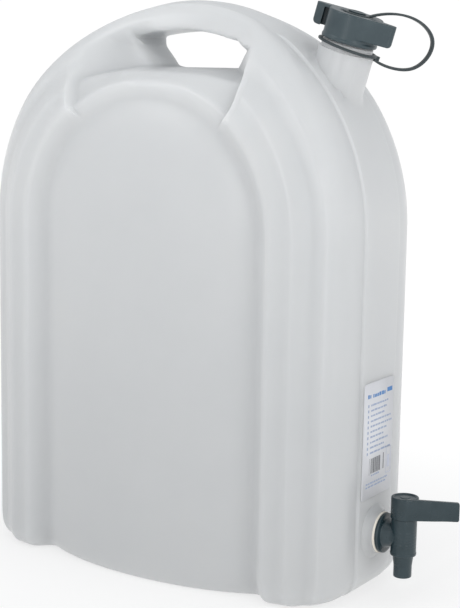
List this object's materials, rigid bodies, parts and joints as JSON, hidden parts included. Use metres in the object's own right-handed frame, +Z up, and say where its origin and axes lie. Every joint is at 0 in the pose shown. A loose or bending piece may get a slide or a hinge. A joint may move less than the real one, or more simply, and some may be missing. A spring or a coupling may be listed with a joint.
{
  "type": "flat water canister with screw cap and drain tap",
  "caption": "Flat blow-moulded canister with an arched top, built-in handle, tethered screw cap on a leaning neck and a lever drain tap low on its side",
  "frame": {"origin": "centre of the flat base", "axes": "+X towards the neck and the tap, +Y through the depth, +Z up"},
  "size_m": [0.4113, 0.171, 0.4599],
  "materials": {
    "natural_polyethylene": "natural, milky translucent polyethylene with a soft satin surface",
    "dark_plastic": "satin slate-grey moulded plastic",
    "strap_plastic": "satin slate-grey flexible plastic",
    "tap_plastic": "satin slate-grey moulded plastic",
    "seal_foam": "soft white sealing disc",
    "washer_plastic": "cream plastic washer",
    "o_ring_rubber": "black rubber",
    "label_film": null
  },
  "bodies": {
    "canister": {"canister_body": "natural_polyethylene", "retaining_strap": "strap_plastic", "tap_housing": "tap_plastic", "tap_washer": "washer_plastic", "label": "label_film"},
    "seal": {"cap_seal": "seal_foam"},
    "cap": {"screw_cap": "dark_plastic"},
    "plug": {"tap_plug": "tap_plastic", "plug_o_ring_upper": "o_ring_rubber", "plug_o_ring_lower": "o_ring_rubber"}
  },
  "joints": [
    {"name": "cap_lift", "type": "slide", "parent": "canister", "child": "seal", "axis": [0.2857, 0, 0.9583], "range_m": [0, 0.009], "deforming": ["retaining_strap"]},
    {"name": "cap_turn", "type": "hinge", "parent": "seal", "child": "cap", "pos_m": [0.12833, 0, 0.39827], "axis": [0.2857, 0, 0.9583], "range_deg": [0, 720]},
    {"name": "tap_turn", "type": "hinge", "parent": "canister", "child": "plug", "pos_m": [0.1981, 0, 0.0515], "axis": [0, 0, 1], "range_deg": [-90, 0]}
  ],
  "couplings": [
    {"joint": "cap_lift", "follows": "cap_turn", "m_per_rad": 0.000716}
  ]
}
